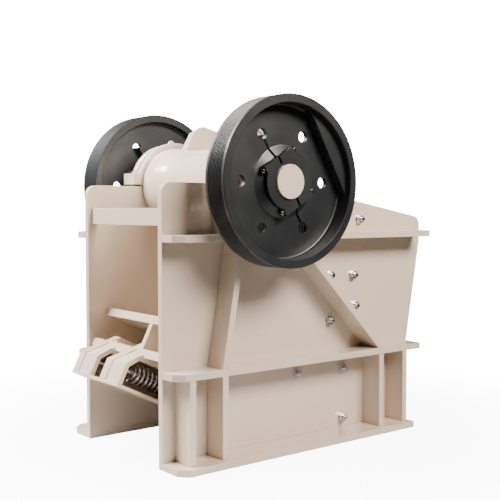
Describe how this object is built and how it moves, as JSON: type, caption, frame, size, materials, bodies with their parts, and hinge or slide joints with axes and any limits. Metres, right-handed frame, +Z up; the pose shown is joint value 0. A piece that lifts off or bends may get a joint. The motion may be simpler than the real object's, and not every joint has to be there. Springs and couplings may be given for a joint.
{
  "type": "single-toggle jaw crusher",
  "caption": "Single-toggle jaw crusher: a ribbed plate frame, an eccentric shaft with heavy wheels, a swinging jaw, a toggle beam and tension springs.",
  "frame": {"origin": "on the floor, under the middle of the overall box", "axes": "+X from the toggle and spring end towards the feed end, +Z up, Y along the eccentric shaft with the flywheel at +Y"},
  "size_m": [2.805, 1.946, 2.562],
  "materials": {
    "cream_paint": "gloss paint",
    "charcoal_paint": "semi-gloss paint",
    "shaft_paint": "gloss paint",
    "manganese_steel": "cast manganese steel",
    "bright_steel": "bright"
  },
  "bodies": {
    "frame": {"pulley_side_plate": "cream_paint", "pulley_side_upper_shelf": "cream_paint", "pulley_side_middle_shelf": "cream_paint", "pulley_side_foot": "cream_paint", "pulley_side_lower_ribs": "cream_paint", "pulley_side_rear_brace": "cream_paint", "pulley_side_front_brace": "cream_paint", "pulley_side_bearing_base": "cream_paint", "pulley_side_bearing_cap": "cream_paint", "pulley_side_spring_housing": "cream_paint", "flywheel_side_plate": "cream_paint", "flywheel_side_upper_shelf": "cream_paint", "flywheel_side_middle_shelf": "cream_paint", "flywheel_side_foot": "cream_paint", "flywheel_side_lower_ribs": "cream_paint", "flywheel_side_rear_brace": "cream_paint", "flywheel_side_front_brace": "cream_paint", "flywheel_side_bearing_base": "cream_paint", "flywheel_side_bearing_cap": "cream_paint", "flywheel_side_spring_housing": "cream_paint", "rear_cross_plate": "cream_paint", "front_wall": "cream_paint", "front_wall_ribs": "cream_paint", "spring_tray": "cream_paint", "beam_lower_plate": "cream_paint", "beam_upper_plate": "cream_paint", "beam_web": "cream_paint", "beam_gusset": "cream_paint", "pulley_side_cheek_plates": "manganese_steel", "flywheel_side_cheek_plates": "manganese_steel", "fixed_jaw_die": "manganese_steel", "toggle_seat": "cream_paint", "toggle_plate": "cream_paint", "tension_rods": "bright_steel", "springs": "bright_steel"},
    "rotor": {"eccentric_shaft": "shaft_paint", "drive_pulley": "charcoal_paint", "flywheel": "charcoal_paint", "pulley_counterweight": "charcoal_paint", "flywheel_counterweight": "charcoal_paint"},
    "pitman": {"pitman": "cream_paint", "swing_jaw_die": "manganese_steel"}
  },
  "joints": [
    {"name": "shaft_spin", "type": "hinge", "parent": "frame", "child": "rotor", "pos_m": [-0.3675, 0, 1.962], "axis": [0, 1, 0], "continuous": true},
    {"name": "pitman_pivot", "type": "hinge", "parent": "rotor", "child": "pitman", "pos_m": [-0.38049, 0, 1.9545], "axis": [0, 1, 0], "continuous": true}
  ],
  "couplings": [
    {"joint": "pitman_pivot", "follows": "shaft_spin", "ratio": -1}
  ]
}
